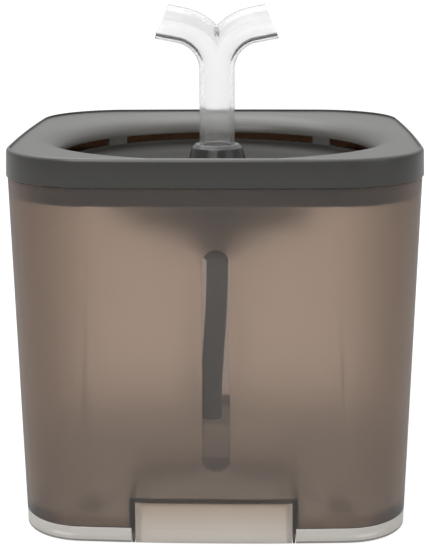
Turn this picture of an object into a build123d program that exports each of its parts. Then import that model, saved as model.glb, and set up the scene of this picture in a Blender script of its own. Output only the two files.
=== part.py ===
from build123d import *
import math
import os

# Pet water fountain: a smoky tank on a clear tray, a drinking bowl moulded into its lid, a filter
# in a funnel tray under the bowl, and a small pump that feeds a clear forked spout.
# Lengths are in millimetres. X runs to the right, Y to the back and Z up from the table top.

os.makedirs("parts", exist_ok=True)

# ------------------------------------------------------------------ driving dimensions

# Lid with the drinking bowl
lid_width = 190.0             # across the middle of two opposite sides
lid_corner = 42.2             # corner radius
lid_bow = 3.1                 # how far each side bulges past a straight side
lid_plate = 2.0               # thickness of the flat top
skirt_wall = 1.6
lip_width = 1.5               # raised bead along the outer edge
lip_height = 1.0
lip_round = 2.0               # outer rounding of the lip
skirt_flare = 0.5             # the skirt's lower edge stands out past its upper edge
skirt_round = 0.5
bowl_wall = 2.2
roll_width = 16.9             # rounded shoulder, from its outer edge in to the slotted wall
roll_drop = 9.7               # and down to the slots
roll_land = 5.4               # flat under the shoulder, where the filter tray's edge lies
roll_margin = 0.2             # flat between the lip and the shoulder
slot_height = 3.7
slot_rib_angle = 9.0          # width of the ribs between the slots, in degrees
slot_count = 4
bowl_depth = 11.9             # from the slots' lower edge to the bowl's floor
dish_width = 34.4             # from the slotted wall in to the bowl's flat floor
bowl_straight = 1.6           # upright wall below the slots, before the bowl curves in
collar_wall = 1.2             # upstand round the bowl's centre hole
collar_above_water = 2.1      # how far it stands above the slots' lower edge

# Tank
seam_height = 7.6             # where the tank meets the tray
shoulder_height = 164.2       # where the lid's skirt sits
lid_overhang = 0.7            # how far the skirt's lower edge stands out past the tank
tank_bottom_width = 181.8
tank_bottom_corner = 29.3
tank_bottom_bow = 3.9
tank_wall = 3.0
neck_height = 8.4             # above the shoulder, inside the lid's skirt
floor_height = 5.6            # the floor's upper face
floor_thickness = 2.4
floor_slope_height = 9.0      # sloped foot of the walls, inside
floor_slope_inset = 3.0

# Level window: a polished pane, sunk a little into the frosted front wall
window_width = 12.2
window_center_x = 1.3
window_low = 35.4
window_drop = 26.8            # from the shoulder down to the window's top
window_sink = 0.5

# Pocket in the tank's front and the tab of the tray that fills it
pocket_width = 76.6           # over the pocket's walls
pocket_wall = 2.4
pocket_ceiling = 1.4
pocket_top = 21.4
pocket_depth = 52.0           # from the middle of the front face to the pocket's back wall
ear_wall = 1.2                # the pocket's walls, where they run down through the tray
ear_depth = 8.0
cut_margin = 1.0              # how far open cuts run past the outer faces

# Tray under the tank
tray_wall = 2.2
tray_floor = 1.8
tray_bottom = 0.5             # the feet hold the tray this far off the table
tab_wall = 1.8
tab_edge = 1.2                # rounding of the tab's edges
nest_gap = 0.6                # round the tank's foot inside the tray
tab_gap = 0.3                 # between the tab and the pocket
foot_radius = 6.0
foot_height = 1.5
foot_chamfer = 0.4
foot_spacing = 118.0

# Filter tray: plate, funnel and a sleeve round the riser hose
filter_tray_wall = 2.0
flange_thickness = 1.6        # its edge, between the tank's rim and the lid
filter_tray_drop = 16.9       # from the tank's rim down to the underside of its plate
funnel_reach = 7.6            # the funnel's mouth lies this far outside the bowl's wall
funnel_waist_inset = 2.4      # and its waist, where it turns shallow, this far inside
funnel_waist_drop = 5.2
cup_edge_drop = 12.7          # from the plate down to the cup's edge
funnel_tip_radius = 19.0      # foot of the cone below the filter
funnel_tip_drop = 11.0
cup_radius = 45.4             # inside, where the filter stands
cup_depth = 17.9              # from the plate down to the ledge that the filter stands on
ledge_width = 3.2
sleeve_drop = 25.8            # from the ledge down to the sleeve's end
sleeve_wall = 1.2
cone_join = 4.0               # from the sleeve's end up to the cone
cone_join_wall = 3.0          # the cone's height where it meets the sleeve
sleeve_above_ledge = 8.6
drain_hole_count = 12
drain_hole_radius = 2.4
drain_ring_radius = 31.0

# Filter cartridge
filter_height = 9.4
filter_rim = 1.6
filter_gap = 0.4              # between the cartridge and its cup
filter_spoke = 1.4
filter_spoke_height = 1.2
filter_spoke_count = 8
carbon_height = 4.6
cotton_round = 0.8

# Spout: a stem that forks into two arms
spout_diameter = 17.2
spout_wall = 2.3
spout_seat_rise = 3.7         # the stem stands this far above the bowl's floor
spout_stem = 52.2             # straight stem, up to where the arms begin to bend
spout_bend_radius = 21.6
spout_bend_angle = 79.0
spout_arm_length = 9.3        # straight run after the bend, on its centre line
spout_cut_angle = 22.9        # the arms' end faces, from the vertical

# Spout socket: cone boss over the bowl's centre hole
socket_base_radius = 19.0
socket_neck_radius = 14.0
socket_neck_rise = 12.6       # above the bowl's floor
socket_top_radius = 12.3
socket_rise = 19.7            # its top edge, above the bowl's floor
socket_wall = 1.7
socket_sleeve_wall = 1.2
socket_floor = 3.0
socket_chamfer = 1.6
socket_seat_width = 2.4       # sloped lead into the socket's bore
socket_neck_round = 1.2
spigot_length = 13.5
spigot_wall = 0.9
spigot_lead = 0.4             # chamfer at the spigot's end, across
spigot_lead_length = 1.2

# Riser hose
hose_diameter = 11.2
hose_wall = 1.8
hose_top_drop = 1.2           # from the socket's underside down to the hose's end
hose_upright = 56.4           # straight upper run, down to the first bend
hose_straight = 16.0          # height of the hose's lower corner above its end

# Pump, lying on its side with its shaft along X
pump_outlet_x = -3.4
pump_outlet_y = -7.0
pump_depth = 26.0             # front to back
pump_height = 23.0
pump_wall = 1.8
pump_corner = 3.0
pump_inner_corner = 0.6       # least corner radius of the pump's hollows
pump_edge = 1.0               # rounding of its end faces
volute_length = 13.0
inlet_wall = 2.4              # end wall of the volute, with the inlet eye
chamber_radius = 8.8
eye_radius = 6.2
eye_boss_radius = 3.6
eye_spoke = 1.4
nozzle_length = 9.0
nozzle_chamfer = 0.5
motor_length = 27.0
cap_length = 2.6
well_radius = 6.9             # dry wall between the rotor and the coil
well_wall = 1.2
well_depth = 17.0
seal_radius = 10.0
seal_thickness = 1.1
magnet_radius = 6.2
magnet_length = 16.4
shaft_radius = 1.0
shaft_chamfer = 0.2
bush_radius = 2.4
bush_length = 2.6
impeller_radius = 7.8
impeller_hub_radius = 3.0
impeller_length = 6.4
impeller_disc = 1.0
impeller_float = 0.8          # end play in front of the impeller
blade_count = 6
blade_thickness = 1.1
core_width = 2.6              # laminated core: legs and yoke
core_height = 13.0
coil_build = 2.0              # depth of the winding round the yoke
coil_corner = 1.6
suction_height = 2.2
suction_rim_radius = 4.6
suction_neck_radius = 1.6
suction_neck_depth = 1.2
suction_lip = 0.7             # flat rim on the floor
suction_hollow = 0.9          # height under the middle of the cup
suction_shoulder = 0.8        # the cup's top is this much wider than its neck
suction_spacing_y = 15.0
cover_length = 6.4            # intake cover
cover_wall = 1.5
window_count = 3              # openings of the intake, which the dial closes
window_inner = 4.0
window_outer = 8.2
window_angle = 56.0
window_lap = 2.0              # the shutter's openings are narrower by this angle
dial_radius = 3.8
dial_height = 2.2
dial_bar = 1.6                # width of the finger bar across the dial
dial_chamfer = 0.4
dial_stem_radius = 1.6
shutter_radius = 9.2
shutter_thickness = 1.0
sponge_thickness = 2.4
gland_radius = 3.4
gland_neck_radius = 2.6
gland_length = 6.0
gland_collar = 1.4
cord_radius = 1.9

# Clearances between pieces
lid_gap = 0.3                 # lid skirt to tank neck
skirt_gap = 0.2               # lid skirt to tank shoulder
tray_gap = 0.8                # filter tray to the tank's inner wall
turn_gap = 0.08               # running fit of the spout and the pump's shaft
push_gap = 0.1                # hose over its nozzle and spigot
seat_gap = 0.02               # pieces pressed into their seats
slip_gap = 0.3                # loose pieces that lift apart

# Notch for the pump's cord at the back of the rim, on the motor's side
notch_x = 57.0
notch_width = 6.0
notch_height = 5.0
notch_reach = 24.0            # across the walls it passes

# ------------------------------------------------------------------ derived heights

rim_height = shoulder_height + neck_height                 # top edge of the tank
tank_top_inset = lid_overhang - skirt_flare                # the tank's shoulder inside the lid's top
plate_low = rim_height + flange_thickness                  # underside of the lid's flat top
plate_high = plate_low + lid_plate                         # the lid's flat top
skirt_low = shoulder_height + skirt_gap
slot_high = plate_high - roll_drop
slot_low = slot_high - slot_height
bowl_floor = slot_low - bowl_depth
floor_low = floor_height - floor_thickness
window_high = shoulder_height - window_drop
filter_tray_low = rim_height - filter_tray_drop            # underside of its flat plate
cup_floor = filter_tray_low - cup_depth                    # the ledge that the filter stands on
sleeve_low = cup_floor - sleeve_drop
socket_neck_height = bowl_floor + socket_neck_rise
socket_top = bowl_floor + socket_rise
spout_seat = bowl_floor + spout_seat_rise                  # where the stem stands in its socket
spout_bend_height = spout_seat + spout_stem
socket_low = spout_seat - socket_floor
hose_top = socket_low - hose_top_drop
hose_bend_high = hose_top - hose_upright
roll_radius = lid_width / 2 - lip_width - roll_margin      # outer edge of the rounded shoulder
basin_radius = roll_radius - roll_width                    # round wall that the slots are cut in
bowl_floor_radius = basin_radius - dish_width
collar_top = slot_low + collar_above_water


def bowed_square(width, bow, corner):
    """Square outline whose four sides bulge outwards by bow, with rounded corners."""
    half = width / 2
    side_radius = (half**2 + bow**2) / (2 * bow)
    reach = side_radius - half
    tip = (math.sqrt(2 * side_radius**2 - reach**2) - reach) / 2
    with BuildSketch() as outline:
        with BuildLine():
            ThreePointArc((-tip, -tip), (0, -half), (tip, -tip))
            ThreePointArc((tip, -tip), (half, 0), (tip, tip))
            ThreePointArc((tip, tip), (0, half), (-tip, tip))
            ThreePointArc((-tip, tip), (-half, 0), (-tip, -tip))
        make_face()
        fillet(outline.vertices(), corner)
    return outline.sketch


def lid_outline(inset):
    """The lid's outline, moved inwards."""
    share = 1 - 2 * inset / lid_width
    return bowed_square(lid_width - 2 * inset, lid_bow * share**2, lid_corner - inset)


def tank_outline(height, inset):
    """The tank's outline at a height, moved inwards. It widens evenly up to the shoulder."""
    rise = height / shoulder_height
    top_width = lid_width - 2 * tank_top_inset
    width = tank_bottom_width + (top_width - tank_bottom_width) * rise
    corner = tank_bottom_corner + (lid_corner - tank_top_inset - tank_bottom_corner) * rise
    bow = tank_bottom_bow + (lid_bow - tank_bottom_bow) * rise
    share = 1 - 2 * inset / width
    return bowed_square(width - 2 * inset, bow * share**2, corner - inset)


def front_face(height):
    """Y of the tank's front at the middle, at a height."""
    return -(tank_bottom_width + (lid_width - 2 * tank_top_inset - tank_bottom_width)
             * height / shoulder_height) / 2


def save(piece, label):
    """Label a finished piece and write it to its own file."""
    piece.part.label = label
    export_step(piece.part, f"parts/{label}.step")


# ------------------------------------------------------------------ tray under the tank

tab_width = pocket_width - 2 * pocket_wall - 2 * tab_gap
tab_top = pocket_top - pocket_ceiling - tab_gap
tab_back = front_face(0) + pocket_depth - pocket_wall - tab_gap
tray_inside = tray_bottom + tray_floor
ear_center = tab_width / 2 + tab_gap + ear_wall / 2

with BuildPart() as tab_form:
    for level in (tray_bottom, tab_top):
        with BuildSketch(Plane.XY.offset(level)):
            add(tank_outline(level, tab_gap))
    loft(ruled=True)
    with BuildSketch(Plane.XY.offset(tray_bottom)):
        with Locations((0, tab_back)):
            Rectangle(tab_width, lid_width, align=(Align.CENTER, Align.MAX))
    extrude(amount=tab_top, mode=Mode.INTERSECT)
    fillet(tab_form.edges().filter_by(Axis.X).group_by(Axis.Z)[-1].sort_by(Axis.Y)[-1], tab_edge)

with BuildPart() as base_tray:
    for level in (tray_bottom, seam_height):
        with BuildSketch(Plane.XY.offset(level)):
            add(tank_outline(level, 0))
    loft(ruled=True)
    with BuildSketch(Plane.XY.offset(tray_inside)):
        add(tank_outline(tray_inside, tray_wall))
    extrude(amount=seam_height, mode=Mode.SUBTRACT)
    add(tab_form.part)
    # The tab is a hollow box, open below.
    tab_front = front_face(0) + tab_gap + tab_wall
    with BuildSketch(Plane.XY.offset(tray_bottom)):
        with Locations((0, (tab_front + tab_back - tab_wall) / 2)):
            RectangleRounded(tab_width - 2 * tab_wall, tab_back - tab_front - tab_wall, tab_edge)
    extrude(amount=tab_top - tab_wall - tray_bottom, mode=Mode.SUBTRACT)
    # Slots beside the tab let the pocket's walls through to the bottom.
    with BuildSketch(Plane.XY):
        with Locations(*[(side * ear_center, front_face(0) - cut_margin) for side in (-1, 1)]):
            Rectangle(ear_wall + 2 * tab_gap, ear_depth + cut_margin + tab_gap,
                      align=(Align.CENTER, Align.MIN))
    extrude(amount=seam_height, mode=Mode.SUBTRACT)
    # Recesses for the rubber feet.
    with BuildSketch(Plane.XY):
        with GridLocations(foot_spacing, foot_spacing, 2, 2):
            Circle(foot_radius + push_gap)
    extrude(amount=foot_height, mode=Mode.SUBTRACT)

save(base_tray, "base_tray")

with BuildPart() as base_feet:
    with BuildSketch():
        with GridLocations(foot_spacing, foot_spacing, 2, 2):
            Circle(foot_radius)
    extrude(amount=foot_height)
    chamfer(base_feet.edges().group_by(Axis.Z)[0], foot_chamfer)

save(base_feet, "base_feet")

# ------------------------------------------------------------------ tank

foot_inset = tray_wall + nest_gap
slope_top = floor_height + floor_slope_height
pocket_back = front_face(0) + pocket_depth

with BuildPart() as tank_cavity:
    with BuildSketch(Plane.XY.offset(floor_height)):
        add(tank_outline(floor_height, tank_wall + floor_slope_inset))
    with BuildSketch(Plane.XY.offset(slope_top)):
        add(tank_outline(slope_top, tank_wall))
    loft(ruled=True)
    for level in (slope_top, rim_height):
        with BuildSketch(Plane.XY.offset(level)):
            add(tank_outline(level, tank_wall))
    loft(ruled=True)
    # The cavity stops at the pocket, whose walls are left standing in the tank.
    with BuildSketch(Plane.XY):
        with Locations((0, pocket_back)):
            Rectangle(pocket_width, lid_width, align=(Align.CENTER, Align.MAX))
    extrude(amount=pocket_top, mode=Mode.SUBTRACT)

with BuildPart() as ears:
    for level in (tray_bottom, seam_height):
        with BuildSketch(Plane.XY.offset(level)):
            add(tank_outline(level, 0))
    loft(ruled=True)
    with BuildSketch(Plane.XY):
        with Locations(*[(side * ear_center, front_face(0) - cut_margin) for side in (-1, 1)]):
            Rectangle(ear_wall, ear_depth + cut_margin, align=(Align.CENTER, Align.MIN))
    extrude(amount=seam_height, mode=Mode.INTERSECT)

with BuildPart() as tank:
    for level in (seam_height, shoulder_height):
        with BuildSketch(Plane.XY.offset(level)):
            add(tank_outline(level, 0))
    loft(ruled=True)
    with BuildSketch(Plane.XY.offset(floor_low)):
        add(tank_outline(seam_height, foot_inset))
    extrude(amount=seam_height - floor_low)
    with BuildSketch(Plane.XY.offset(shoulder_height)):
        add(lid_outline(skirt_wall + lid_gap))
    extrude(amount=neck_height)
    add(tank_cavity.part, mode=Mode.SUBTRACT)
    with BuildSketch(Plane.XY):
        with Locations((0, pocket_back - pocket_wall)):
            Rectangle(pocket_width - 2 * pocket_wall, lid_width, align=(Align.CENTER, Align.MAX))
    extrude(amount=pocket_top - pocket_ceiling, mode=Mode.SUBTRACT)
    add(ears.part)
    # Level window, sunk square into the front wall.
    with BuildSketch(Plane.XZ.offset(cut_margin - front_face(window_high))):
        with Locations((window_center_x, (window_low + window_high) / 2)):
            SlotOverall(window_high - window_low, window_width, rotation=90)
    extrude(amount=-(cut_margin + window_sink + front_face(window_low) - front_face(window_high)),
            mode=Mode.SUBTRACT)
    # Notch for the cord at the back of the rim.
    with BuildSketch(Plane.XY.offset(rim_height - notch_height)):
        with Locations((notch_x, lid_width / 2)):
            Rectangle(notch_width, notch_reach)
    extrude(amount=notch_height, mode=Mode.SUBTRACT)

save(tank, "tank")

# ------------------------------------------------------------------ filter tray

funnel_top_radius = basin_radius + funnel_reach
funnel_waist_radius = basin_radius - funnel_waist_inset
cup_outer = cup_radius + filter_tray_wall
cup_low = cup_floor - filter_tray_wall
hose_radius = hose_diameter / 2
sleeve_inner = hose_radius + slip_gap
sleeve_outer = sleeve_inner + sleeve_wall
plate_top = filter_tray_low + filter_tray_wall
funnel_tip = cup_low - funnel_tip_drop

with BuildPart() as filter_tray:
    for level in (filter_tray_low, rim_height):
        with BuildSketch(Plane.XY.offset(level)):
            add(tank_outline(level, tank_wall + tray_gap))
    loft(ruled=True)
    with BuildSketch(Plane.XY.offset(rim_height)):
        add(lid_outline(skirt_wall + lid_gap + slip_gap))
    extrude(amount=flange_thickness)
    # Hollow above the flat plate.
    for level in (plate_top, plate_low):
        with BuildSketch(Plane.XY.offset(level)):
            add(tank_outline(level, tank_wall + tray_gap + filter_tray_wall))
    loft(ruled=True, mode=Mode.SUBTRACT)
    with BuildSketch(Plane.XY.offset(filter_tray_low)):
        Circle(funnel_top_radius)
    extrude(amount=filter_tray_wall, mode=Mode.SUBTRACT)
    # Funnel, cup, lower cone and sleeve are one turned profile.
    with BuildSketch(Plane.XZ):
        with BuildLine():
            Polyline(
                (funnel_top_radius, plate_top),
                (funnel_waist_radius, plate_top - funnel_waist_drop),
                (cup_radius, plate_top - cup_edge_drop),
                (cup_radius, cup_floor),
                (cup_radius - ledge_width, cup_floor),
                (funnel_tip_radius, funnel_tip + filter_tray_wall),
                (sleeve_outer, sleeve_low + cone_join + cone_join_wall),
                (sleeve_outer, cup_floor + sleeve_above_ledge),
                (sleeve_inner, cup_floor + sleeve_above_ledge),
                (sleeve_inner, sleeve_low),
                (sleeve_outer, sleeve_low),
                (sleeve_outer, sleeve_low + cone_join),
                (funnel_tip_radius, funnel_tip),
                (cup_radius - ledge_width, cup_low),
                (cup_outer, cup_low),
                (cup_outer, filter_tray_low - cup_edge_drop),
                (funnel_waist_radius, filter_tray_low - funnel_waist_drop),
                (funnel_top_radius, filter_tray_low),
                close=True,
            )
        make_face()
    revolve(axis=Axis.Z)
    # Drain holes through the cone below the filter.
    with BuildSketch(Plane.XY.offset(sleeve_low)):
        with PolarLocations(drain_ring_radius, drain_hole_count):
            Circle(drain_hole_radius)
    extrude(amount=cup_floor - sleeve_low, mode=Mode.SUBTRACT)
    # Notch for the cord.
    with BuildSketch(Plane.XY.offset(filter_tray_low)):
        with Locations((notch_x, lid_width / 2)):
            Rectangle(notch_width, notch_reach)
    extrude(amount=rim_height, mode=Mode.SUBTRACT)

save(filter_tray, "filter_tray")

# ------------------------------------------------------------------ filter cartridge

filter_outer = cup_radius - filter_gap
filter_bore = sleeve_outer + filter_gap
filter_middle = (filter_outer + filter_bore) / 2
filter_top = cup_floor + filter_height
media_low = cup_floor + filter_spoke_height
media_outer = filter_outer - filter_rim - push_gap
media_inner = filter_bore + filter_rim + push_gap

with BuildPart() as filter_frame:
    with BuildSketch(Plane.XY.offset(cup_floor)):
        Circle(filter_outer)
        Circle(filter_outer - filter_rim, mode=Mode.SUBTRACT)
        Circle(filter_bore + filter_rim)
        Circle(filter_bore, mode=Mode.SUBTRACT)
    extrude(amount=filter_height)
    with BuildSketch(Plane.XY.offset(cup_floor)):
        Circle(filter_middle + filter_spoke / 2)
        Circle(filter_middle - filter_spoke / 2, mode=Mode.SUBTRACT)
        with PolarLocations(filter_middle, filter_spoke_count):
            Rectangle(filter_outer - filter_bore - filter_rim, filter_spoke)
    extrude(amount=filter_spoke_height)

save(filter_frame, "filter_frame")

with BuildPart() as carbon_layer:
    with BuildSketch(Plane.XY.offset(media_low)):
        Circle(media_outer)
        Circle(media_inner, mode=Mode.SUBTRACT)
    extrude(amount=carbon_height)

save(carbon_layer, "carbon_layer")

with BuildPart() as cotton_pad:
    with BuildSketch(Plane.XY.offset(media_low + carbon_height)):
        Circle(media_outer)
        Circle(media_inner, mode=Mode.SUBTRACT)
    extrude(amount=filter_top - media_low - carbon_height)
    fillet(cotton_pad.edges().group_by(Axis.Z)[-1], cotton_round)

save(cotton_pad, "cotton_pad")

# ------------------------------------------------------------------ lid with the drinking bowl

stem_radius = spout_diameter / 2
socket_bore = stem_radius + turn_gap
socket_sleeve = socket_bore + socket_sleeve_wall
collar_inner = socket_sleeve + slip_gap
collar_outer = collar_inner + collar_wall
bowl_bend_height = slot_low - bowl_straight
bowl_low = bowl_floor - bowl_wall

with BuildPart() as bowl_lid:
    for level, inset in ((skirt_low, -skirt_flare), (plate_high + lip_height, 0)):
        with BuildSketch(Plane.XY.offset(level)):
            add(lid_outline(inset))
    loft(ruled=True)
    fillet(bowl_lid.faces().sort_by(Axis.Z)[-1].edges(), lip_round)
    fillet(bowl_lid.faces().sort_by(Axis.Z)[0].edges(), skirt_round)
    with BuildSketch(Plane.XY.offset(plate_high)):
        add(lid_outline(lip_width))
    extrude(amount=lip_height, mode=Mode.SUBTRACT)
    with BuildSketch(Plane.XY.offset(skirt_low)):
        add(lid_outline(skirt_wall))
    extrude(amount=plate_low - skirt_low, mode=Mode.SUBTRACT)
    with BuildSketch(Plane.XY.offset(plate_low)):
        Circle(roll_radius)
    extrude(amount=lid_plate + lip_height, mode=Mode.SUBTRACT)
    # Rounded shoulder, slotted wall, bowl and collar are one turned shell.
    with BuildSketch(Plane.XZ):
        with BuildLine():
            shoulder = EllipticalCenterArc(
                (roll_radius, slot_high), roll_radius - basin_radius, roll_drop,
                start_angle=90, arc_size=90)
            wall = Line(shoulder @ 1, (basin_radius, bowl_bend_height))
            dish = EllipticalCenterArc(
                (bowl_floor_radius, bowl_bend_height), basin_radius - bowl_floor_radius,
                bowl_bend_height - bowl_floor, start_angle=0, arc_size=-90)
            Polyline(dish @ 1, (collar_outer, bowl_floor), (collar_outer, collar_top),
                     (collar_inner, collar_top), (collar_inner, bowl_low),
                     (bowl_floor_radius, bowl_low))
            under = EllipticalCenterArc(
                (bowl_floor_radius, bowl_bend_height), basin_radius + bowl_wall - bowl_floor_radius,
                bowl_bend_height - bowl_low, start_angle=-90, arc_size=90)
            under_shoulder = EllipticalCenterArc(
                (roll_radius - roll_land, slot_high),
                roll_radius - roll_land - basin_radius - bowl_wall,
                roll_drop - lid_plate, start_angle=180, arc_size=-90)
            Line(under @ 1, under_shoulder @ 0)
            Polyline(under_shoulder @ 1, (roll_radius, plate_low), shoulder @ 0)
        make_face()
    revolve(axis=Axis.Z)
    # Drain slots between the shoulder and the bowl.
    slot_span = 360 / slot_count - slot_rib_angle
    with BuildSketch(Plane.XY.offset(slot_low)):
        for number in range(slot_count):
            first_angle = number * 360 / slot_count - slot_span / 2
            with BuildLine():
                inner = CenterArc((0, 0), basin_radius - bowl_wall, first_angle, slot_span)
                outer = CenterArc((0, 0), basin_radius + 2 * bowl_wall, first_angle, slot_span)
                Line(inner @ 0, outer @ 0)
                Line(inner @ 1, outer @ 1)
            make_face()
    extrude(amount=slot_height, mode=Mode.SUBTRACT)
    # Notch for the cord.
    with BuildSketch(Plane.XY.offset(skirt_low)):
        with Locations((notch_x, lid_width / 2)):
            Rectangle(notch_width, notch_reach)
    extrude(amount=rim_height - skirt_low, mode=Mode.SUBTRACT)

save(bowl_lid, "bowl_lid")

# ------------------------------------------------------------------ spout socket

spigot_outer = hose_radius - hose_wall - push_gap
spigot_bore = spigot_outer - spigot_wall

with BuildPart() as spout_socket:
    with BuildSketch(Plane.XZ):
        with BuildLine():
            Polyline(
                (socket_base_radius, bowl_floor),
                (socket_neck_radius, socket_neck_height),
                (socket_top_radius, socket_top - socket_chamfer),
                (socket_top_radius - socket_chamfer, socket_top),
                (socket_bore, socket_top),
                (socket_bore, spout_seat),
                (spigot_bore + socket_seat_width, spout_seat),
                (spigot_bore, socket_low),
                (spigot_bore, socket_low - spigot_length),
                (spigot_outer - spigot_lead, socket_low - spigot_length),
                (spigot_outer, socket_low - spigot_length + spigot_lead_length),
                (spigot_outer, socket_low),
                (socket_sleeve, socket_low),
                (socket_sleeve, collar_top + slip_gap),
                (socket_neck_radius - socket_wall, collar_top + slip_gap),
                (socket_neck_radius - socket_wall, socket_neck_height - socket_wall / 2),
                (socket_base_radius - socket_wall, bowl_floor),
                close=True,
            )
        profile = make_face()
        fillet(profile.vertices().group_by(Axis.Y)[-2].sort_by(Axis.X)[-1], socket_neck_round)
    revolve(axis=Axis.Z)

save(spout_socket, "spout_socket")

# ------------------------------------------------------------------ spout

bend_turn = math.radians(spout_bend_angle)
bend_end = (-spout_bend_radius * (1 - math.cos(bend_turn)),
            spout_bend_height + spout_bend_radius * math.sin(bend_turn))
arm_way = (-math.sin(bend_turn), math.cos(bend_turn))
arm_end = (bend_end[0] + spout_arm_length * arm_way[0], bend_end[1] + spout_arm_length * arm_way[1])
cut_plane = Plane(origin=(arm_end[0], 0, arm_end[1]), x_dir=(0, 1, 0),
                  z_dir=(-math.cos(math.radians(spout_cut_angle)), 0,
                         math.sin(math.radians(spout_cut_angle))))


def arm_tube(radius):
    """Stem and left arm as one round bar, with the arm's slanted end face."""
    with BuildPart() as bar:
        with BuildLine(Plane.XZ) as path:
            stem = Line((0, spout_seat), (0, spout_bend_height))
            bend = CenterArc((-spout_bend_radius, spout_bend_height), spout_bend_radius,
                             0, spout_bend_angle)
            Line(bend @ 1, (bend_end[0] + 2 * spout_arm_length * arm_way[0],
                            bend_end[1] + 2 * spout_arm_length * arm_way[1]))
        with BuildSketch(Plane.XY.offset(spout_seat)):
            Circle(radius)
        sweep(path=path.wire())
        split(bisect_by=cut_plane, keep=Keep.BOTTOM)
    return bar.part


with BuildPart() as spout:
    add(arm_tube(stem_radius))
    mirror(about=Plane.YZ)
    add(arm_tube(stem_radius - spout_wall), mode=Mode.SUBTRACT)
    add(arm_tube(stem_radius - spout_wall).mirror(Plane.YZ), mode=Mode.SUBTRACT)

save(spout, "spout")

# ------------------------------------------------------------------ riser hose

pump_low = floor_height + suction_height
pump_top = pump_low + pump_height
pump_axis = pump_low + pump_height / 2
hose_low = pump_top + slip_gap
hose_points = [
    (0, 0, hose_top),
    (0, 0, hose_bend_high),
    (pump_outlet_x, pump_outlet_y, hose_low + hose_straight),
    (pump_outlet_x, pump_outlet_y, hose_low),
]


def bend_radii(points):
    """The largest arcs that leave a tenth of each run straight, one for each inner point."""
    radii = []
    for before, corner, after in zip(points, points[1:], points[2:]):
        run_in = Vector(*corner) - Vector(*before)
        run_out = Vector(*after) - Vector(*corner)
        half_turn = math.radians(run_in.get_angle(run_out)) / 2
        radii.append(0.45 * min(run_in.length, run_out.length) / math.tan(half_turn))
    return radii


print("hose bend radii", [round(radius, 1) for radius in bend_radii(hose_points)])

with BuildPart() as riser_hose:
    with BuildLine() as hose_path:
        FilletPolyline(*hose_points, radius=bend_radii(hose_points))
    with BuildSketch(Plane.XY.offset(hose_top)):
        Circle(hose_radius)
        Circle(hose_radius - hose_wall, mode=Mode.SUBTRACT)
    sweep(path=hose_path.wire())

save(riser_hose, "riser_hose")

# ------------------------------------------------------------------ pump

volute_left = pump_outlet_x - volute_length / 2
volute_right = pump_outlet_x + volute_length / 2
motor_right = volute_right + motor_length
cap_right = motor_right + cap_length
cover_left = volute_left - cover_length
well_end = volute_right + well_depth
pump_middle = (pump_outlet_y, pump_axis)
suction_x = (pump_outlet_x - 1.0, motor_right - suction_rim_radius - pump_wall)
suction_points = [(x, pump_outlet_y + side * suction_spacing_y / 2)
                  for x in suction_x for side in (-1, 1)]
nozzle_radius = hose_radius - hose_wall - push_gap


def pump_section(inset):
    """The pump's rounded cross-section, moved inwards."""
    with BuildSketch() as section:
        with Locations(pump_middle):
            RectangleRounded(pump_depth - 2 * inset, pump_height - 2 * inset,
                             max(pump_corner - inset, pump_inner_corner))
    return section.sketch


with BuildPart() as volute:
    with BuildSketch(Plane.YZ.offset(volute_left)):
        add(pump_section(0))
    extrude(amount=volute_length)
    with BuildSketch(Plane.XY.offset(pump_axis)):
        with Locations((pump_outlet_x, pump_outlet_y)):
            Circle(nozzle_radius)
    extrude(amount=pump_top + nozzle_length - pump_axis)
    chamfer(volute.edges().group_by(Axis.Z)[-1], nozzle_chamfer)
    # Impeller chamber, open towards the motor.
    with BuildSketch(Plane.YZ.offset(volute_left + inlet_wall)):
        with Locations(pump_middle):
            Circle(chamber_radius)
    extrude(amount=volute_length, mode=Mode.SUBTRACT)
    with BuildSketch(Plane.XY.offset(pump_axis)):
        with Locations((pump_outlet_x, pump_outlet_y)):
            Circle(nozzle_radius - spigot_wall)
    extrude(amount=pump_height + nozzle_length, mode=Mode.SUBTRACT)
    # Inlet eye with a bush seat carried by three spokes.
    with BuildSketch(Plane.YZ.offset(volute_left)):
        with Locations(pump_middle):
            Circle(eye_radius)
            Circle(eye_boss_radius, mode=Mode.SUBTRACT)
            with PolarLocations(eye_radius / 2, 3, start_angle=90):
                Rectangle(2 * eye_radius, eye_spoke, mode=Mode.SUBTRACT)
            Circle(bush_radius + seat_gap)
    extrude(amount=inlet_wall, mode=Mode.SUBTRACT)
    # Groove for the seal, in the face towards the motor.
    with BuildSketch(Plane.YZ.offset(volute_right - seal_thickness)):
        with Locations(pump_middle):
            Circle(seal_radius + seal_thickness / 2)
            Circle(seal_radius - seal_thickness / 2, mode=Mode.SUBTRACT)
    extrude(amount=seal_thickness, mode=Mode.SUBTRACT)
    with BuildSketch(Plane.XY.offset(pump_low)):
        with Locations(*suction_points[:2]):
            Circle(suction_neck_radius + seat_gap)
    extrude(amount=suction_neck_depth, mode=Mode.SUBTRACT)

save(volute, "volute")

with BuildPart() as volute_seal:
    with BuildSketch(Plane.XZ.offset(-pump_outlet_y)):
        with Locations((volute_right - seal_thickness / 2, pump_axis + seal_radius)):
            Circle(seal_thickness / 2 - seat_gap)
    revolve(axis=Axis((0, pump_outlet_y, pump_axis), (1, 0, 0)))

save(volute_seal, "volute_seal")

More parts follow.
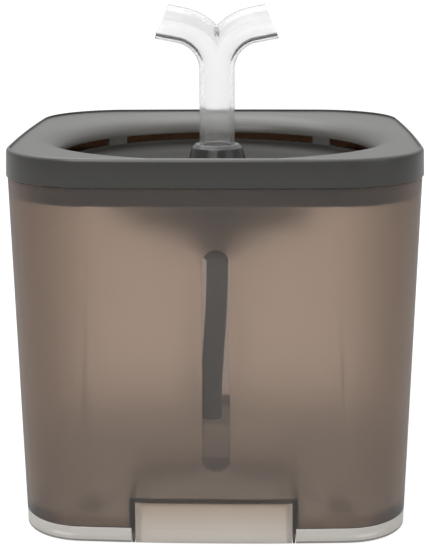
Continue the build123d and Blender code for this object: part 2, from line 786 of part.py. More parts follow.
with BuildPart() as pump_body:
    with BuildSketch(Plane.YZ.offset(volute_right)):
        add(pump_section(0))
    extrude(amount=motor_length)
    with BuildSketch(Plane.YZ.offset(volute_right + pump_wall)):
        add(pump_section(pump_wall))
    extrude(amount=motor_length, mode=Mode.SUBTRACT)
    # The rotor's well stands inside the motor chamber.
    with BuildSketch(Plane.YZ.offset(volute_right)):
        with Locations(pump_middle):
            Circle(well_radius + well_wall)
    extrude(amount=well_depth + well_wall)
    with BuildSketch(Plane.YZ.offset(volute_right)):
        with Locations(pump_middle):
            Circle(well_radius)
    extrude(amount=well_depth, mode=Mode.SUBTRACT)
    # Seat of the rear bush at the well's end.
    with BuildSketch(Plane.YZ.offset(well_end - bush_length)):
        with Locations(pump_middle):
            Circle(well_radius)
            Circle(bush_radius + seat_gap, mode=Mode.SUBTRACT)
    extrude(amount=bush_length)
    with BuildSketch(Plane.XY.offset(pump_low)):
        with Locations(*suction_points[2:]):
            Circle(suction_neck_radius + seat_gap)
    extrude(amount=suction_neck_depth, mode=Mode.SUBTRACT)

save(pump_body, "pump_body")

# The core is a U: two legs beside the well and a yoke behind it, which carries the coil.
chamber_half = pump_depth / 2 - pump_wall
leg_outer = chamber_half - push_gap
yoke_left = well_end + well_wall + coil_build + slip_gap
coil_length = 2 * (leg_outer - core_width) - slip_gap

with BuildPart() as stator_core:
    with BuildSketch(Plane.XY.offset(pump_axis - core_height / 2)):
        with Locations((volute_right + pump_wall + slip_gap, pump_outlet_y)):
            Rectangle(yoke_left + core_width - volute_right - pump_wall - slip_gap, 2 * leg_outer,
                      align=(Align.MIN, Align.CENTER))
            Rectangle(yoke_left - volute_right - pump_wall - slip_gap,
                      2 * (leg_outer - core_width), align=(Align.MIN, Align.CENTER),
                      mode=Mode.SUBTRACT)
    extrude(amount=core_height)

save(stator_core, "stator_core")

with BuildPart() as stator_coil:
    with BuildSketch(Plane.XZ.offset(-pump_outlet_y - coil_length / 2)):
        with Locations((yoke_left + core_width / 2, pump_axis)):
            RectangleRounded(core_width + 2 * coil_build, core_height + 2 * coil_build, coil_corner)
            Rectangle(core_width + 2 * seat_gap, core_height + 2 * seat_gap, mode=Mode.SUBTRACT)
    extrude(amount=coil_length)

save(stator_coil, "stator_coil")

with BuildPart() as motor_cap:
    with BuildSketch(Plane.YZ.offset(motor_right)):
        add(pump_section(0))
    extrude(amount=cap_length)
    fillet(motor_cap.faces().sort_by(Axis.X)[-1].edges(), pump_edge)
    with BuildSketch(Plane.YZ.offset(motor_right)):
        with Locations(pump_middle):
            Circle(gland_neck_radius + seat_gap)
    extrude(amount=cap_length, mode=Mode.SUBTRACT)

save(motor_cap, "motor_cap")

with BuildPart() as cord_gland:
    with BuildSketch(Plane.XZ.offset(-pump_outlet_y)):
        with BuildLine():
            Polyline(
                (motor_right, pump_axis + cord_radius),
                (cap_right + gland_length, pump_axis + cord_radius),
                (cap_right + gland_length, pump_axis + gland_neck_radius),
                (cap_right + gland_collar, pump_axis + gland_radius),
                (cap_right, pump_axis + gland_radius),
                (cap_right, pump_axis + gland_neck_radius),
                (motor_right, pump_axis + gland_neck_radius),
                close=True,
            )
        make_face()
    revolve(axis=Axis((0, pump_outlet_y, pump_axis), (1, 0, 0)))

save(cord_gland, "cord_gland")

# ------------------------------------------------------------------ rotor

impeller_left = volute_left + bush_length + impeller_float
impeller_right = impeller_left + impeller_length
rotor_bore = shaft_radius + turn_gap

with BuildPart() as impeller:
    with BuildSketch(Plane.YZ.offset(impeller_left)):
        with Locations(pump_middle):
            with PolarLocations(impeller_radius / 2, blade_count):
                Rectangle(impeller_radius, blade_thickness)
            Circle(impeller_hub_radius)
    extrude(amount=impeller_length)
    with BuildSketch(Plane.YZ.offset(impeller_right - impeller_disc)):
        with Locations(pump_middle):
            Circle(impeller_radius)
    extrude(amount=impeller_disc)
    with BuildSketch(Plane.YZ.offset(impeller_left)):
        with Locations(pump_middle):
            Circle(rotor_bore)
    extrude(amount=impeller_length, mode=Mode.SUBTRACT)

save(impeller, "impeller")

with BuildPart() as rotor_magnet:
    with BuildSketch(Plane.YZ.offset(impeller_right)):
        with Locations(pump_middle):
            Circle(magnet_radius)
            Circle(rotor_bore, mode=Mode.SUBTRACT)
    extrude(amount=magnet_length)

save(rotor_magnet, "rotor_magnet")

with BuildPart() as rotor_shaft:
    with BuildSketch(Plane.YZ.offset(volute_left + seat_gap)):
        with Locations(pump_middle):
            Circle(shaft_radius)
    extrude(amount=well_end - volute_left - 2 * seat_gap)
    chamfer(rotor_shaft.edges().filter_by(GeomType.CIRCLE), shaft_chamfer)

save(rotor_shaft, "rotor_shaft")

for bush_label, bush_left in (("front_bush", volute_left), ("rear_bush", well_end - bush_length)):
    with BuildPart() as shaft_bush:
        with BuildSketch(Plane.YZ.offset(bush_left)):
            with Locations(pump_middle):
                Circle(bush_radius)
                Circle(shaft_radius + seat_gap, mode=Mode.SUBTRACT)
        extrude(amount=bush_length)
    save(shaft_bush, bush_label)

# ------------------------------------------------------------------ intake of the pump

shutter_left = cover_left + cover_wall + turn_gap


def intake_windows(clearance):
    """Openings round the pump's axis, each narrowed by clearance degrees."""
    with BuildSketch() as openings:
        for number in range(window_count):
            first_angle = number * 360 / window_count - (window_angle - clearance) / 2
            with BuildLine():
                inner = CenterArc(pump_middle, window_inner, first_angle, window_angle - clearance)
                outer = CenterArc(pump_middle, window_outer, first_angle, window_angle - clearance)
                Line(inner @ 0, outer @ 0)
                Line(inner @ 1, outer @ 1)
            make_face()
    return openings.sketch


with BuildPart() as intake_cover:
    with BuildSketch(Plane.YZ.offset(cover_left)):
        add(pump_section(0))
    extrude(amount=cover_length)
    fillet(intake_cover.faces().sort_by(Axis.X)[0].edges(), pump_edge)
    with BuildSketch(Plane.YZ.offset(cover_left + cover_wall)):
        add(pump_section(cover_wall))
    extrude(amount=cover_length, mode=Mode.SUBTRACT)
    with BuildSketch(Plane.YZ.offset(cover_left)):
        add(intake_windows(0))
        with Locations(pump_middle):
            Circle(dial_stem_radius + turn_gap)
    extrude(amount=cover_wall, mode=Mode.SUBTRACT)

save(intake_cover, "intake_cover")

with BuildPart() as flow_dial:
    with BuildSketch(Plane.YZ.offset(cover_left - turn_gap)):
        with Locations(pump_middle):
            Circle(dial_radius)
    extrude(amount=-dial_height)
    chamfer(flow_dial.edges().group_by(Axis.X)[0], dial_chamfer)
    # Finger bar across the dial.
    with BuildSketch(Plane.YZ.offset(cover_left - turn_gap - dial_height / 2)):
        with Locations(pump_middle):
            Rectangle(2 * (dial_radius - dial_chamfer), dial_bar)
    extrude(amount=-dial_height)
    with BuildSketch(Plane.YZ.offset(cover_left - turn_gap)):
        with Locations(pump_middle):
            Circle(dial_stem_radius)
    extrude(amount=shutter_left + shutter_thickness - cover_left + turn_gap)

save(flow_dial, "flow_dial")

with BuildPart() as flow_shutter:
    with BuildSketch(Plane.YZ.offset(shutter_left)):
        with Locations(pump_middle):
            Circle(shutter_radius)
            Circle(dial_stem_radius + seat_gap, mode=Mode.SUBTRACT)
        add(intake_windows(window_lap), mode=Mode.SUBTRACT)
    extrude(amount=shutter_thickness)

save(flow_shutter, "flow_shutter")

with BuildPart() as intake_sponge:
    with BuildSketch(Plane.YZ.offset(volute_left - sponge_thickness)):
        add(pump_section(cover_wall + slip_gap))
    extrude(amount=sponge_thickness)

save(intake_sponge, "intake_sponge")

# ------------------------------------------------------------------ suction cups

with BuildPart() as suction_cups:
    for x, y in suction_points:
        with BuildSketch(Plane.XZ.offset(-y)):
            with BuildLine():
                Polyline(
                    (x, floor_height + suction_hollow),
                    (x + suction_rim_radius - suction_lip, floor_height),
                    (x + suction_rim_radius, floor_height),
                    (x + suction_neck_radius + suction_shoulder, pump_low),
                    (x + suction_neck_radius, pump_low),
                    (x + suction_neck_radius, pump_low + suction_neck_depth),
                    (x, pump_low + suction_neck_depth),
                    close=True,
                )
            make_face()
        revolve(axis=Axis((x, y, 0), (0, 0, 1)))

save(suction_cups, "suction_cups")
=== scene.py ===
# %% [markdown]
# # A pet water fountain, dressed in Blender
#
# The fountain is a smoky frosted tank on a milky tray, with a dark grey lid that holds a round
# drinking bowl. A clear forked spout stands in a cone in the middle, and a slanted hose shows
# behind a polished strip in the tank's front, the level window. All rigid pieces come from the
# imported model. This lesson adds the camera, the light, the finishes and the soft pieces.

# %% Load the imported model
import math

import bpy
from mathutils import Matrix, Vector


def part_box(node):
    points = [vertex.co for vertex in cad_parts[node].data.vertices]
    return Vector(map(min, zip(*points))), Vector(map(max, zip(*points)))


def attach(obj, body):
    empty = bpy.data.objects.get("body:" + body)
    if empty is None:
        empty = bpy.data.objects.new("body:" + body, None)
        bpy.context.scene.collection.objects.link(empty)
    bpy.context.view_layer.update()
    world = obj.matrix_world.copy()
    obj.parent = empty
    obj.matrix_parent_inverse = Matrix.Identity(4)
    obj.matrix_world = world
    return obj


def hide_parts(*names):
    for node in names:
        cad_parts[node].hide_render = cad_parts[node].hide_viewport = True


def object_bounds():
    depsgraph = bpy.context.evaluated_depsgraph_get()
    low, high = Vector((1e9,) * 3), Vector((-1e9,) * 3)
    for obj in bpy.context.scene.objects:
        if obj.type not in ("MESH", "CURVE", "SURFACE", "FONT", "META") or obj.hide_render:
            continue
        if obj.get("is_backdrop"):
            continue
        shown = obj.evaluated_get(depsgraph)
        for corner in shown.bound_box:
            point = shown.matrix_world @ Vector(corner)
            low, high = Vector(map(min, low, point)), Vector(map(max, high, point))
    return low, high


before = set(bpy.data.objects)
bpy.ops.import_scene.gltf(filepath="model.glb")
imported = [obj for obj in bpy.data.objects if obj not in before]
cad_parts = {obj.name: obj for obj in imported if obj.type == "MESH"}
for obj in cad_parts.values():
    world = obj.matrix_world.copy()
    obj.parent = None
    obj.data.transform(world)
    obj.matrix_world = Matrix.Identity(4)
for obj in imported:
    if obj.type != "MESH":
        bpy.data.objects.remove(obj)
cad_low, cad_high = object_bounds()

print("pieces:", len(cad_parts), "size:", [round(s, 4) for s in cad_high - cad_low])

# %% [markdown]
# ## Camera
#
# The camera looks down on the lid a little and stands slightly to the right of the middle. A long
# lens keeps the tank's sides nearly parallel. The three turns are written apart: down, sideways,
# and a very small roll.

# %% Place the camera
lens = 86.1
camera_place = Vector((0.0152, -0.6439, 0.2585))
look_down = math.radians(13.47)
look_aside = math.radians(1.49)
camera_roll = math.radians(-0.209)

camera = bpy.data.objects.new("camera", bpy.data.cameras.new("camera"))
bpy.context.scene.collection.objects.link(camera)
camera.data.lens = lens
camera.data.sensor_width = 36.0
camera.data.clip_start = 0.01
camera.data.clip_end = 20.0
camera.matrix_world = (
    Matrix.Translation(camera_place)
    @ Matrix.Rotation(look_aside, 4, "Z")
    @ Matrix.Rotation(math.pi / 2 - look_down, 4, "X")
    @ Matrix.Rotation(camera_roll, 4, "Z")
)
bpy.context.scene.camera = camera
bpy.context.scene.view_settings.view_transform = "Standard"
print("camera at", [round(c, 3) for c in camera.location], "lens", lens)

# %% [markdown]
# ## Shader maths
#
# A finish is a small network of nodes. Writing it as a formula is shorter and easier to read, so
# the class below wraps one output of a node and gives it plus, minus, times and powers. Each
# operation adds one Math node. Every other node comes from the method `node`.

# %% A socket with arithmetic
class Wire:
    """One output of a node. Sums and products with it add Math nodes."""

    def __init__(self, tree, socket=None):
        self.tree = tree
        self.socket = socket

    def node(self, kind, settings=None, values=None):
        """Add a node, set it up, feed its inputs and return its first output."""
        made = self.tree.nodes.new("ShaderNode" + kind)
        for name, setting in (settings or {}).items():
            setattr(made, name, setting)
        for name, value in (values or {}).items():
            if isinstance(value, Wire):
                self.tree.links.new(value.socket, made.inputs[name])
            else:
                made.inputs[name].default_value = value
        return Wire(self.tree, made.outputs[0] if made.outputs else None)

    def output(self, name):
        """Another output of the same node."""
        return Wire(self.tree, self.socket.node.outputs[name])

    def math(self, operation, *values):
        """A Math node that does one operation on these values."""
        return self.node("Math", {"operation": operation}, dict(enumerate(values)))

    def __add__(self, other):
        return self.math("ADD", self, other)

    __radd__ = __add__

    def __sub__(self, other):
        return self.math("SUBTRACT", self, other)

    def __rsub__(self, other):
        return self.math("SUBTRACT", other, self)

    def __mul__(self, other):
        return self.math("MULTIPLY", self, other)

    __rmul__ = __mul__

    def __truediv__(self, other):
        return self.math("DIVIDE", self, other)

    def __pow__(self, other):
        return self.math("POWER", self, other)

    def __lt__(self, other):
        return self.math("LESS_THAN", self, other)

    def __gt__(self, other):
        return self.math("GREATER_THAN", self, other)

    def clip(self):
        """The value kept between 0 and 1."""
        return self.math("MINIMUM", self.math("MAXIMUM", self, 0.0), 1.0)

    def between(self, colour_at_0, colour_at_1):
        """A colour that goes from one to the other as this value goes from 0 to 1."""
        blend = self.node("Mix", {"data_type": "RGBA"}, {0: self, 6: colour_at_0, 7: colour_at_1})
        return Wire(self.tree, blend.socket.node.outputs[2])


def linear(red, green, blue):
    """A colour picked on screen, 0 to 255, as the shaders want it."""
    def straighten(value):
        share = value / 255
        return share / 12.92 if share <= 0.04045 else ((share + 0.055) / 1.055) ** 2.4
    return (straighten(red), straighten(green), straighten(blue), 1.0)


print("dark grey of the lid:", [round(c, 3) for c in linear(64, 63, 60)])

# %% [markdown]
# ## A starting point for plastics
#
# Nearly all pieces are moulded plastic. A mould leaves a fine even texture, and the gloss drifts a
# little where the plastic cooled slower. One function makes a material with both, and each finish
# then adds what is its own.

# %% Start a finish
class Finish:
    """A material with its Principled shader, object coordinates and a few patterns."""

    def __init__(self, name):
        self.material = bpy.data.materials.new(name)
        self.material.use_nodes = True
        self.tree = self.material.node_tree
        self.shader = self.tree.nodes["Principled BSDF"]
        self.wire = Wire(self.tree)
        place = self.wire.node("TexCoord").output("Object")
        self.place = place
        parts = self.wire.node("SeparateXYZ", None, {"Vector": place})
        self.x, self.y, self.z = parts, parts.output("Y"), parts.output("Z")

    def set(self, **values):
        """Set or link sockets of the shader. Underscores stand for spaces."""
        for name, value in values.items():
            socket = self.shader.inputs[name.replace("_", " ")]
            if isinstance(value, Wire):
                self.tree.links.new(value.socket, socket)
            else:
                socket.default_value = value

    def noise(self, size, detail=2.0, roughness=0.5, place=None):
        """Soft noise with features about size metres across."""
        return self.wire.node("TexNoise", None, {
            "Vector": place or self.place, "Scale": 1 / size,
            "Detail": detail, "Roughness": roughness})

    def cells(self, size):
        """Distance to the middle of cells about size metres across."""
        return self.wire.node("TexVoronoi", None, {"Vector": self.place, "Scale": 1 / size})

    def stretched(self, along_x, along_y, along_z):
        """The coordinates scaled unevenly, for patterns with a direction."""
        return self.wire.node("Mapping", None, {
            "Vector": self.place, "Scale": (along_x, along_y, along_z)})

    def second(self, factor, **values):
        """One more shader, which takes over where factor is 1, with the grain of the last one."""
        last = self.shader
        self.shader = self.tree.nodes.new("ShaderNodeBsdfPrincipled")
        self.set(**values)
        surface = self.tree.nodes["Material Output"].inputs["Surface"]
        before = Wire(self.tree, surface.links[0].from_socket)
        after = Wire(self.tree, self.shader.outputs[0])
        mixed = self.wire.node("MixShader", None, {0: factor, 1: before, 2: after})
        self.tree.links.new(mixed.socket, surface)
        if last.inputs["Normal"].is_linked:
            self.set(Normal=Wire(self.tree, last.inputs["Normal"].links[0].from_socket))

    def fill(self, colour, density):
        """Let the plastic itself absorb light, by density * (1 - colour) for each metre."""
        smoke = self.wire.node("VolumeAbsorption", None, {"Color": colour, "Density": density})
        self.tree.links.new(smoke.socket, self.tree.nodes["Material Output"].inputs["Volume"])

    def bump(self, height, depth):
        """Tilt the surface by a height pattern that is depth metres deep."""
        self.set(Normal=self.wire.node("Bump", None, {
            "Height": height, "Distance": depth, "Strength": 1.0}))


def moulded(name, colour, roughness, grain=0.0004, grain_depth=0.000006):
    """Moulded plastic: fine grain from the mould, and slow drifts of gloss and colour."""
    gloss_drift = 0.06
    tint_drift = 0.05
    finish = Finish(name)
    slow = finish.noise(0.03, 3.0)
    darker = tuple(c * (1 - tint_drift) for c in colour[:3]) + (1.0,)
    lighter = tuple(min(1.0, c * (1 + tint_drift)) for c in colour[:3]) + (1.0,)
    finish.set(Base_Color=slow.between(darker, lighter),
               Roughness=roughness + (slow - 0.5) * gloss_drift, IOR=1.5)
    finish.bump(finish.noise(grain, 2.0), grain_depth)
    return finish


def soften_edges(width, *names):
    """Round the sharp edges of CAD pieces, so that they catch a thin line of light."""
    for name in names:
        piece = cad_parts[name]
        joined = piece.modifiers.new("join_corners", "WELD")
        joined.merge_threshold = 0.000002
        rounded = piece.modifiers.new("soft_edges", "BEVEL")
        rounded.width = width
        rounded.segments = 2
        rounded.limit_method = "ANGLE"
        rounded.angle_limit = math.radians(40)
        rounded.harden_normals = False


def paint(finish, *names):
    """Give CAD pieces a finish."""
    for name in names:
        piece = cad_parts[name]
        piece.data.materials.clear()
        piece.data.materials.append(finish.material)
    print(finish.material.name, "on", ", ".join(names))

# %% [markdown]
# ## Lid and drinking bowl
#
# The lid is one moulding in dark grey. Its faces are satin, and so glossy at a shallow angle that
# the flat top looks light grey while the front edge looks nearly black. Two areas are set apart by
# their place: the bowl's steep wall gets a paler colour, which is painted light, and its floor a
# darker colour, which is painted shade, with a duller gloss. In the middle of the bowl stands the
# spout's glossy socket, and under the lid hangs the filter tray, which is smoky like the tank but
# lets much less light through.

# %% Dark grey lid
bowl_radius = 0.0795
wall_top = 0.1722
wall_fade = 0.004
slot_low = 0.1628
under_floor = 0.1485

lid_finish = moulded("lid_dark_grey", linear(64, 63, 60), 0.30, grain=0.0005, grain_depth=0.000004)
from_middle = (lid_finish.x * lid_finish.x + lid_finish.y * lid_finish.y) ** 0.5
in_bowl = from_middle < bowl_radius
# Painted light: the bowl's steep wall, from the slots up to the rim, gets a paler colour than the
# rest of the lid.
wall = ((wall_top - lid_finish.z) / wall_fade).clip() * (lid_finish.z > slot_low) * in_bowl
lid_drift = lid_finish.noise(0.03, 3.0)
satin = lid_drift.between(linear(62, 61, 58), linear(66, 65, 62))
lid_finish.set(Base_Color=wall.between(satin, linear(88, 86, 82)))
# Painted shade: the bowl's floor gets a darker colour than the rim. Its gloss is also duller.
painted_shade_bowl_floor = (lid_finish.z < slot_low) * (lid_finish.z > under_floor) * in_bowl
dull = lid_drift.between(linear(56, 55, 52), linear(60, 59, 56))
lid_finish.second(painted_shade_bowl_floor, Base_Color=dull, Roughness=0.45, IOR=1.5, Specular_IOR_Level=0.3)
paint(lid_finish, "bowl_lid")
soften_edges(0.0004, "bowl_lid")

# %% Smoky filter tray and glossy socket
tray_finish = Finish("filter_tray_smoky")
tray_drift = tray_finish.noise(0.03, 3.0)
tray_finish.set(
    Base_Color=tray_drift.between((0.80, 0.76, 0.72, 1.0), (0.86, 0.82, 0.78, 1.0)),
    Roughness=0.32 + (tray_drift - 0.5) * 0.06, Transmission_Weight=1.0, IOR=1.45)
tray_finish.bump(tray_finish.noise(0.0005), 0.000004)
tray_finish.fill(colour=(0.30, 0.18, 0.06, 1.0), density=2200.0)
paint(tray_finish, "filter_tray")

socket_finish = moulded("spout_socket_gloss", linear(46, 45, 44), 0.18, grain_depth=0.000002)
paint(socket_finish, "spout_socket")

# %% [markdown]
# ## Tank
#
# The tank is smoky plastic with a frosted outside. Light goes in and out through it, and what
# stands behind shows only as soft shadows. Rough transmission does exactly that: the further a
# thing is behind the wall, the more it blurs. The brown is in the plastic itself, so it comes from
# absorption along the light's path, which also darkens the corners where that path is longer. The
# frost's colour is painted paler near the bottom, which is painted light. The level window is the
# same moulding with a polished face, so there a second, smoother shader takes over, chosen by a
# mask of its place; its darker colour is painted shade.

# %% Smoky tank with a polished level window
window_middle = 0.0013
window_half_width = 0.0061
window_low = 0.0354
window_high = 0.1374
window_margin = 0.0001
front_half = -0.05
painted_light_below = 0.075
painted_light_fade = 0.045


def window_mask(finish):
    """1 in the level window at the front, 0 elsewhere."""
    straight_low = window_low + window_half_width
    straight_high = window_high - window_half_width
    above = finish.z.math("MAXIMUM", finish.z - straight_high, 0.0)
    below = finish.z.math("MAXIMUM", straight_low - finish.z, 0.0)
    aside = finish.x - window_middle
    away = (aside * aside + above * above + below * below) ** 0.5
    return (away < window_half_width + window_margin) * (finish.y < front_half)


tank_finish = Finish("smoky_tank")
pane = window_mask(tank_finish)
cloud = tank_finish.noise(0.04, 3.0)
frost = tank_finish.noise(0.0006, 3.0)
# Painted light: the frost's colour turns paler towards the bottom of the tank.
low = ((painted_light_below - tank_finish.z) / painted_light_fade).clip()
frosted = low.between(cloud.between((0.84, 0.80, 0.77, 1.0), (0.88, 0.84, 0.81, 1.0)),
                      cloud.between((0.90, 0.885, 0.87, 1.0), (0.94, 0.925, 0.91, 1.0)))
tank_finish.set(
    Base_Color=frosted, Roughness=0.39 + (cloud - 0.5) * 0.06,
    Transmission_Weight=0.95, IOR=1.45)
tank_finish.bump(frost * (1 - pane), 0.000006)
# Painted shade: the window's colour is darker than the frost's, though it is the same plastic.
tank_finish.second(pane, Base_Color=(0.49, 0.455, 0.43, 1.0), Roughness=0.03,
                   Transmission_Weight=0.88, IOR=1.45)
tank_finish.fill(colour=(0.42, 0.24, 0.08, 1.0), density=226.0)
paint(tank_finish, "tank")

# %% [markdown]
# ## Tray and feet
#
# The tray's outside is milky and slightly see-through. Its bottom edge has a painted dark line,
# painted shade where it meets the floor. The tab in front is painted in shade, darker than the
# skirt and browner towards its top, where the tank's pocket reaches over it. The inside is clear,
# so that it doesn't shade the tank. Three shaders take turns by place. The feet are grey rubber.

# %% Milky tray and rubber feet
tab_half_width = 0.0362
tab_face = -0.0885
smoky_from = 0.004
smoky_fade = 0.016
painted_shade_height = 0.0015
inside_half_width = 0.0865
inside_corner = 0.157

milky = Finish("milky_tray")
aside = milky.x.math("ABSOLUTE", milky.x)
along = milky.y.math("ABSOLUTE", milky.y)
haze = milky.noise(0.03, 3.0)
white = haze.between((0.845, 0.805, 0.75, 1.0), (0.885, 0.845, 0.79, 1.0))
# Painted shade: the tab's colours are darker than the skirt's, and darker and browner towards its
# top, under the tank's pocket.
smoky = haze.between((0.51, 0.40, 0.31, 1.0), (0.55, 0.44, 0.35, 1.0))
shaded = haze.between((0.71, 0.66, 0.60, 1.0), (0.75, 0.70, 0.64, 1.0))
on_tab = (aside < tab_half_width) * (milky.y < tab_face)
painted_shade_under_pocket = ((milky.z - smoky_from) / smoky_fade).clip()
# Painted shade: a dark line along the tray's bottom edge, where it meets the floor.
painted_shade_edge = milky.z < painted_shade_height
satin_haze = 0.3 + (haze - 0.5) * 0.08
milky.set(Base_Color=painted_shade_edge.between(white, (0.42, 0.40, 0.37, 1.0)), Roughness=satin_haze,
          Transmission_Weight=0.3, IOR=1.47)
milky.bump(milky.noise(0.0006), 0.000005)
milky.second(on_tab, Base_Color=painted_shade_under_pocket.between(shaded, smoky), Roughness=satin_haze,
             Transmission_Weight=0.45, IOR=1.47)
inside = ((aside < inside_half_width) * (along < inside_half_width)
          * (aside + along < inside_corner))
milky.second(inside, Base_Color=(0.99, 0.98, 0.97, 1.0), Roughness=0.3,
             Transmission_Weight=1.0, IOR=1.47)
paint(milky, "base_tray")
soften_edges(0.0005, "tank", "base_tray")

feet_finish = moulded("foot_rubber", linear(150, 150, 148), 0.7, grain=0.0008, grain_depth=0.00002)
paint(feet_finish, "base_feet")

# %% [markdown]
# ## Spout
#
# The spout is clear and polished, and its thick wall bends the light into grey outlines. A faint
# waviness comes from the mould.

# %% Clear spout
clear = Finish("clear_spout")
clear.set(Base_Color=(0.99, 0.99, 0.988, 1.0), Transmission_Weight=0.91, IOR=1.38,
          Specular_IOR_Level=0.02, Roughness=0.06 + clear.noise(0.01) * 0.04)
clear.bump(clear.noise(0.012, 1.0), 0.00002)
clear.fill(colour=(0.51, 0.52, 0.52, 1.0), density=42.0)
paint(clear, "spout")

# %% [markdown]
# ## Pump, hose and filter
#
# These stand inside the tank and are seen when it is taken apart. Each has its own plain material:
# rubber is dull and faintly grained, the ferrite magnet is matt and specked, the shaft is ground
# steel with fine rings, and the sheets of the core and the turns of the winding show.

# %% Finishes of the inner pieces
hose_rubber = moulded("hose_rubber", linear(34, 34, 36), 0.55, grain=0.0012, grain_depth=0.000002)
paint(hose_rubber, "riser_hose")

pump_plastic = moulded("pump_plastic", linear(244, 241, 236), 0.45)
paint(pump_plastic, "volute", "pump_body", "motor_cap", "intake_cover")

dial_plastic = moulded("dial_plastic", linear(60, 60, 62), 0.35)
paint(dial_plastic, "flow_dial", "flow_shutter")

black_rubber = moulded("black_rubber", linear(38, 38, 38), 0.65, grain=0.0008, grain_depth=0.00002)
paint(black_rubber, "suction_cups", "volute_seal", "front_bush", "rear_bush", "cord_gland")

impeller_plastic = moulded("impeller_plastic", linear(225, 225, 220), 0.3)
paint(impeller_plastic, "impeller")

cage_plastic = moulded("filter_cage", linear(232, 232, 228), 0.4)
paint(cage_plastic, "filter_frame")

# %% Metal and mineral finishes
ferrite = moulded("ferrite", linear(52, 52, 54), 0.6, grain=0.0003, grain_depth=0.00002)
paint(ferrite, "rotor_magnet")

steel = Finish("ground_steel")
rings = steel.noise(0.002, 3.0, place=steel.stretched(20.0, 1.0, 1.0))
steel.set(Base_Color=rings.between((0.60, 0.60, 0.61, 1.0), (0.74, 0.74, 0.75, 1.0)),
          Metallic=1.0, Roughness=0.2 + rings * 0.15)
steel.bump(rings, 0.000004)
paint(steel, "rotor_shaft")

sheet_thickness = 0.0005
laminations = Finish("core_laminations")
sheets = laminations.z * (2 * math.pi / sheet_thickness)
layer = sheets.math("SINE", sheets) * 0.5 + 0.5
laminations.set(Base_Color=layer.between((0.16, 0.16, 0.17, 1.0), (0.30, 0.30, 0.31, 1.0)),
                Metallic=1.0, Roughness=0.45 + layer * 0.15)
laminations.bump(layer, 0.00004)
paint(laminations, "stator_core")

wire_thickness = 0.0004
winding = Finish("copper_winding")
turns = winding.y * (2 * math.pi / wire_thickness)
turn = turns.math("SINE", turns) * 0.5 + 0.5
winding.set(Base_Color=turn.between((0.42, 0.16, 0.06, 1.0), (0.80, 0.38, 0.18, 1.0)),
            Metallic=0.9, Roughness=0.28 + turn * 0.1)
winding.bump(turn, 0.00008)
paint(winding, "stator_coil")

granules = Finish("carbon_granules")
grains = granules.cells(0.0014)
granules.set(Base_Color=grains.between((0.035, 0.035, 0.036, 1.0), (0.008, 0.008, 0.009, 1.0)),
             Roughness=0.45 + grains * 0.3)
granules.bump(1 - grains, 0.0006)
paint(granules, "carbon_layer")

# %% [markdown]
# ## Soft pieces
#
# Two pieces are soft: the pad of filter cotton that lies on the carbon, and the coarse sponge
# behind the pump's intake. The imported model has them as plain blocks. Here each is made again in
# the space of its block. Both start from a clean outline, get an even mesh that rounds their edges,
# and then lumps push the surface inwards, so they never reach past their block.

# %% Tools for soft pieces
def start_piece(name, add_primitive, size, middle):
    """A primitive of that size round that middle, in edit mode with everything selected."""
    bpy.ops.object.select_all(action="DESELECT")
    add_primitive(size=1.0, location=(0, 0, 0))
    piece = bpy.context.object
    piece.name = name
    bpy.ops.object.mode_set(mode="EDIT")
    bpy.ops.mesh.select_all(action="SELECT")
    bpy.ops.transform.resize(value=size, center_override=(0, 0, 0))
    bpy.ops.transform.translate(value=middle)
    return piece


def soften(piece, cell, lump, depth):
    """Even the mesh to cells of that size, then push lumps of it inwards by up to depth."""
    bpy.ops.mesh.select_all(action="SELECT")
    bpy.ops.mesh.remove_doubles(threshold=0.00001)
    bpy.ops.mesh.normals_make_consistent(inside=False)
    bpy.ops.object.mode_set(mode="OBJECT")
    even = piece.modifiers.new("even", "REMESH")
    even.mode = "VOXEL"
    even.voxel_size = cell
    lumps = bpy.data.textures.new(piece.name + "_lumps", "CLOUDS")
    lumps.noise_scale = lump
    lumps.noise_depth = 3
    pushed = piece.modifiers.new("pushed", "DISPLACE")
    pushed.texture = lumps
    pushed.mid_level = 1.0
    pushed.strength = depth
    for modifier in (even.name, pushed.name):
        bpy.ops.object.modifier_apply(modifier=modifier)
    bpy.ops.object.shade_smooth()
    spots = [v.co for v in piece.data.vertices]
    box = [[round(pick(s[i] for s in spots) * 1000, 2) for i in range(3)] for pick in (min, max)]
    print(piece.name, "faces:", len(piece.data.polygons), "box in mm:", box)


def stand_for(piece, node, body, finish):
    """The soft piece takes the place of its block."""
    piece.data.materials.append(finish.material)
    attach(piece, body)
    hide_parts(node)


# %% Cotton pad: a rounded cross-section, spun round the filter's middle
block_low, block_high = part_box("cotton_pad")
pad_inner = 0.0094
pad_width = block_high.x - pad_inner
pad_thickness = block_high.z - block_low.z
cotton = start_piece(
    "filter_cotton", bpy.ops.mesh.primitive_plane_add, (pad_width, pad_thickness, 1.0), (0, 0, 0))
bpy.ops.transform.rotate(value=math.pi / 2, orient_axis="X", center_override=(0, 0, 0))
bpy.ops.transform.translate(
    value=(pad_inner + pad_width / 2, 0, (block_low.z + block_high.z) / 2))
bpy.ops.mesh.bevel(offset=0.0012, segments=4, affect="VERTICES")
bpy.ops.mesh.delete(type="ONLY_FACE")
bpy.ops.mesh.select_all(action="SELECT")
bpy.ops.mesh.spin(steps=120, angle=2 * math.pi, center=(0, 0, 0), axis=(0, 0, 1))
soften(cotton, cell=0.0007, lump=0.005, depth=0.0007)

cotton_finish = Finish("filter_cotton")
fibres = cotton_finish.noise(0.0025, 6.0, 0.7)
cotton_finish.set(Base_Color=fibres.between((0.70, 0.70, 0.67, 1.0), (0.90, 0.90, 0.87, 1.0)),
                  Roughness=0.95, Sheen_Weight=0.3)
cotton_finish.bump(fibres + cotton_finish.noise(0.0006, 4.0) * 0.4, 0.0005)
stand_for(cotton, "cotton_pad", "filter", cotton_finish)

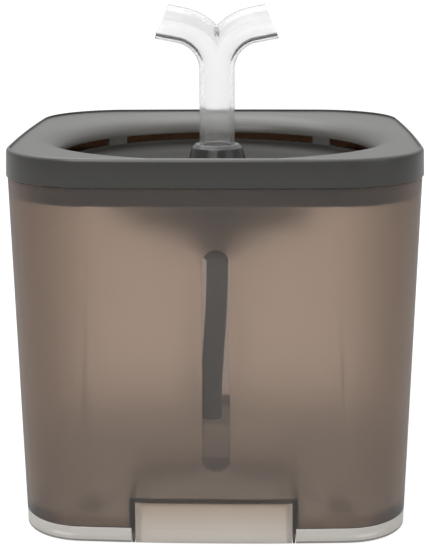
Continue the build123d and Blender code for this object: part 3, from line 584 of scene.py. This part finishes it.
# %% Intake sponge: a box with rounded edges and open pores
block_low, block_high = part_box("intake_sponge")
sponge = start_piece(
    "coarse_sponge", bpy.ops.mesh.primitive_cube_add, block_high - block_low,
    (block_low + block_high) / 2)
bpy.ops.mesh.bevel(offset=0.0009, segments=3, affect="EDGES")
soften(sponge, cell=0.0004, lump=0.0016, depth=0.0006)

foam_finish = Finish("sponge_foam")
pores = foam_finish.cells(0.0014)
foam_finish.set(Base_Color=pores.between((0.012, 0.012, 0.013, 1.0), (0.06, 0.06, 0.063, 1.0)),
                Roughness=0.9, Sheen_Weight=0.2)
foam_finish.bump(pores, 0.0006)
stand_for(sponge, "intake_sponge", "intake", foam_finish)

# %% [markdown]
# ## Floor and light
#
# The floor itself is grey. To the camera and through clear plastic it glows almost white, so that
# it fades into the white surroundings and keeps the fountain's soft shadow. Reflections see half of
# that glow, and diffuse rays a fifth of full white, in place of the light that a white floor would
# throw back.
#
# The surroundings are white to the camera. Reflections see something else: dim in front, brighter
# behind, and a bright card overhead towards the back, which draws the light edges on dark plastic.
# Three softboxes add the soft light.

# %% Floor that glows white
camera_glow = 0.88
mirror_glow = 0.45
diffuse_glow = 0.2

bpy.ops.object.select_all(action="DESELECT")
bpy.ops.mesh.primitive_plane_add(size=30.0, location=(0, 0, -0.0002))
floor = bpy.context.object
floor.name = "floor"
paper = Finish("white_paper")
ray = paper.wire.node("LightPath")
glow = (ray.output("Is Camera Ray") * camera_glow + ray.output("Is Transmission Ray")
        + ray.output("Is Glossy Ray") * mirror_glow + ray.output("Is Diffuse Ray") * diffuse_glow)
paper.set(Base_Color=(0.25, 0.25, 0.25, 1.0), Roughness=0.9, Specular_IOR_Level=0.2,
          Emission_Color=glow.between((0, 0, 0, 1), (1, 1, 1, 1)), Emission_Strength=1.0)
floor.data.materials.append(paper.material)
floor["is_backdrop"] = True

# %% Surroundings and lamps
wall_behind = 0.36
card_strength = 4.0
dim_front = 0.15
ambient = 0.55

world = bpy.context.scene.world or bpy.data.worlds.new("studio")
bpy.context.scene.world = world
world.use_nodes = True
world.node_tree.nodes.clear()
sky = Wire(world.node_tree)
path = sky.node("LightPath")
clear_view = path.math("MAXIMUM", path.output("Is Camera Ray"), path.output("Is Transmission Ray"))
direction = sky.node("SeparateXYZ", None, {"Vector": sky.node("TexCoord").output("Generated")})
behind = (direction.output("Y") * 0.5 + 0.5).clip()
overhead = direction.output("Z").clip()
card = overhead * overhead * (behind * 0.7 + 0.3)
mirrored = behind * behind * wall_behind + card * card_strength + dim_front
glossy = path.output("Is Glossy Ray")
through_glass = path.output("Transmission Depth") > 0.5
reflected = mirrored.math("MAXIMUM", mirrored, through_glass)
lit = glossy * reflected + (1 - glossy) * ambient
brightness = clear_view + (1 - clear_view) * lit
backdrop = sky.node("Background", None, {"Color": (1, 1, 1, 1), "Strength": brightness})
sky.node("OutputWorld", None, {"Surface": backdrop})


def softbox(name, place, target, size, power):
    """A square lamp that faces a point."""
    lamp = bpy.data.lights.new(name, "AREA")
    lamp.size = size
    lamp.energy = power
    holder = bpy.data.objects.new(name, lamp)
    holder.location = place
    holder.rotation_euler = (Vector(target) - Vector(place)).to_track_quat("-Z", "Y").to_euler()
    bpy.context.scene.collection.objects.link(holder)


softbox("softbox_above", (-0.2, 0.3, 1.2), (0, 0, 0.1), 1.0, 5.0)
softbox("softbox_front", (-0.3, -0.8, 1.0), (0, 0, 0.1), 0.8, 6.0)
softbox("softbox_right", (1.1, -0.7, 0.6), (0, 0, 0.1), 0.8, 1.2)

# %% [markdown]
# ## Finish
#
# The visual model's box is measured, and how much it grew past the imported model's box is printed.
# The visual model has to stay in the box of the imported model.

# %% Compare the boxes and close
low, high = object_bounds()
print("box grew by", [round(g, 5) for g in (high - low) - (cad_high - cad_low)])
